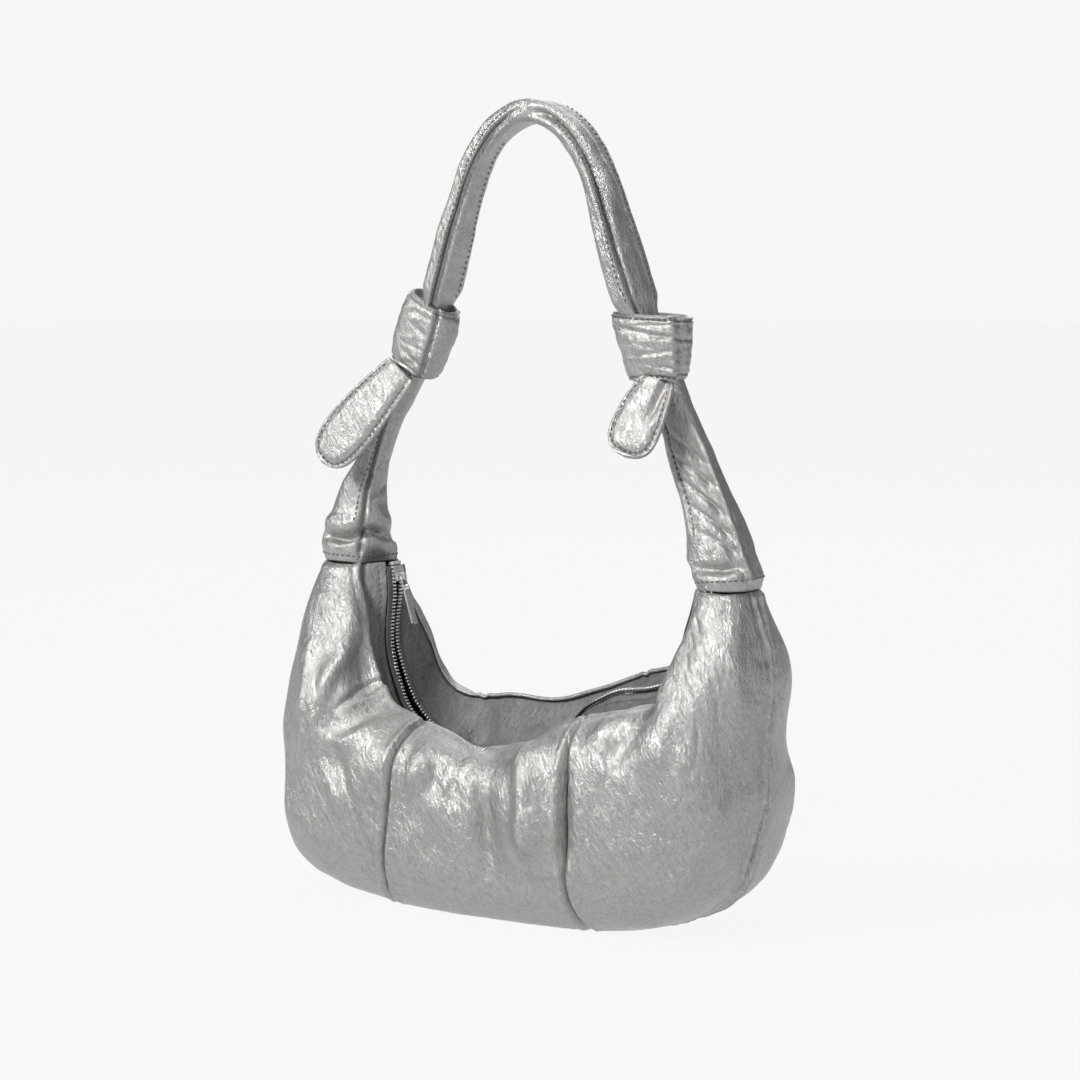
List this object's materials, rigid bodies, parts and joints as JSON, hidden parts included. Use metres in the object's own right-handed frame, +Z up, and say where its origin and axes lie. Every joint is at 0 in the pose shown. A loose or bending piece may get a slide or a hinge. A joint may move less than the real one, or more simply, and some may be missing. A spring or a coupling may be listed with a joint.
{
  "type": "hobo shoulder bag",
  "caption": "Slouchy crescent shoulder bag: panelled leather body, curved zip across the mouth, two horns and a shoulder strap tied to them in knots.",
  "frame": {"origin": "under the middle of the base, on the surface that the bag stands on", "axes": "+X to the bag's right seen from its front, +Y to its back, +Z up through the strap"},
  "size_m": [0.3073, 0.1282, 0.4516],
  "materials": {
    "leather": "soft metallic pewter-silver leather with a fine pebble and crinkle grain",
    "lining": "plain woven lining",
    "zip_tape": "woven zip tape",
    "zip_metal": "bright silver zip metal"
  },
  "bodies": {
    "bag": {"front_panel_left": "leather", "front_panel_centre": "leather", "front_panel_right": "leather", "back_panel_left": "leather", "back_panel_centre": "leather", "back_panel_right": "leather", "lining_front": "lining", "lining_back": "lining", "inner_slip_pocket": "lining", "left_strap_root": "leather", "right_strap_root": "leather", "zip_bottom_stop": "zip_metal"},
    "front_lip": {"front_placket": "leather", "front_zip_tape": "zip_tape", "front_zip_teeth": "zip_metal", "front_top_stop": "zip_metal"},
    "back_lip": {"back_placket": "leather", "back_zip_tape": "zip_tape", "back_zip_teeth": "zip_metal", "back_top_stop": "zip_metal"},
    "slider": {"zip_slider": "zip_metal", "slider_bridge": "zip_metal"},
    "pull_link": {"pull_link": "zip_metal"},
    "pull_tab": {"pull_tab": "zip_metal"},
    "strap": {"left_riser": "leather", "right_riser": "leather", "left_knot": "leather", "right_knot": "leather", "shoulder_strap": "leather"},
    "left_tail": {"left_tail": "leather"},
    "right_tail": {"right_tail": "leather"}
  },
  "joints": [
    {"name": "mouth_front", "type": "hinge", "parent": "bag", "child": "front_lip", "pos_m": [0, 0, 0.188], "axis": [-1, 0, 0], "range_deg": [-3.43, 5]},
    {"name": "mouth_back", "type": "hinge", "parent": "bag", "child": "back_lip", "pos_m": [0, 0, 0.188], "axis": [1, 0, 0], "range_deg": [-3.43, 5]},
    {"name": "zip_travel", "type": "hinge", "parent": "bag", "child": "slider", "pos_m": [0.006, 0, 0.201], "axis": [0, -1, 0], "range_deg": [0, 147.4]},
    {"name": "pull_link_hinge", "type": "hinge", "parent": "slider", "child": "pull_link", "pos_m": [-0.0907, 0, 0.18017], "axis": [0, -1, 0], "range_deg": [0, 130]},
    {"name": "pull_tab_hinge", "type": "hinge", "parent": "pull_link", "child": "pull_tab", "pos_m": [-0.08871, 0, 0.17366], "axis": [0, -1, 0], "range_deg": [0, 90]},
    {"name": "strap_fold", "type": "hinge", "parent": "bag", "child": "strap", "pos_m": [0, 0, 0.21], "axis": [1, 0, 0], "range_deg": [-90, 90]},
    {"name": "left_tail_swing", "type": "hinge", "parent": "strap", "child": "left_tail", "pos_m": [-0.087, -0.013, 0.293], "axis": [-0.7792, 0, 0.6268], "range_deg": [-8, 60]},
    {"name": "right_tail_swing", "type": "hinge", "parent": "strap", "child": "right_tail", "pos_m": [0.086, -0.013, 0.292], "axis": [-0.9806, 0, 0.1961], "range_deg": [-12, 60]}
  ],
  "couplings": [
    {"joint": "mouth_back", "follows": "mouth_front", "ratio": 1}
  ]
}
